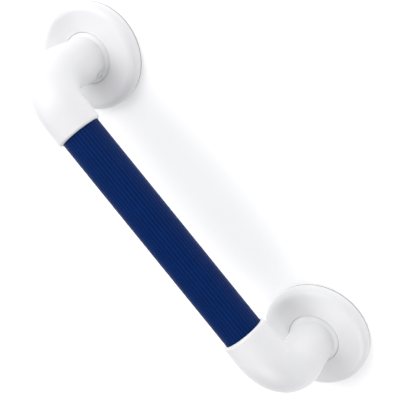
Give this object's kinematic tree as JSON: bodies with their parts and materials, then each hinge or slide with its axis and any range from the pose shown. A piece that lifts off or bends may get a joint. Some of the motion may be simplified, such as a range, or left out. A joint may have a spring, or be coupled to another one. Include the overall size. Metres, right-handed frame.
{
  "type": "wall grab rail",
  "caption": "Short straight wall grab rail: ribbed blue plastic grip between white moulded elbows, with round clip-over covers that hide screw-fixed wall plates.",
  "frame": {"origin": "midway between the two flange centres, on the wall plane under the gaskets", "axes": "+Z out of the wall, +X along the rail towards its upper end, +Y completes the right-handed frame"},
  "size_m": [0.398, 0.093, 0.0997],
  "materials": {
    "blue_fluted_plastic": "satin",
    "white_moulded_plastic": "gloss",
    "pale_gasket_rubber": "matte",
    "white_coated_screw": "satin",
    "core_aluminium": "satin",
    "insert_brass": "satin",
    "stainless_screw": "satin",
    "plug_nylon": "matte",
    "black_seal_rubber": "matte"
  },
  "bodies": {
    "rail": {"grip_sleeve": "blue_fluted_plastic", "core_tube": "core_aluminium", "upper_elbow": "white_moulded_plastic", "lower_elbow": "white_moulded_plastic", "upper_wall_plate": "white_moulded_plastic", "lower_wall_plate": "white_moulded_plastic", "upper_gasket": "pale_gasket_rubber", "lower_gasket": "pale_gasket_rubber", "upper_lock_screw": "white_coated_screw", "lower_lock_screw": "white_coated_screw", "upper_lock_insert": "insert_brass", "lower_lock_insert": "insert_brass", "upper_tube_screw": "stainless_screw", "lower_tube_screw": "stainless_screw", "upper_core_plug": "plug_nylon", "lower_core_plug": "plug_nylon", "upper_tube_seal": "black_seal_rubber", "lower_tube_seal": "black_seal_rubber"},
    "upper_flange_cover": {"upper_cover": "white_moulded_plastic"},
    "lower_flange_cover": {"lower_cover": "white_moulded_plastic"}
  },
  "joints": [
    {"name": "upper_cover_slide", "type": "slide", "parent": "rail", "child": "upper_flange_cover", "axis": [0, 0, 1], "range_m": [0, 0.034]},
    {"name": "lower_cover_slide", "type": "slide", "parent": "rail", "child": "lower_flange_cover", "axis": [0, 0, 1], "range_m": [0, 0.034]}
  ]
}
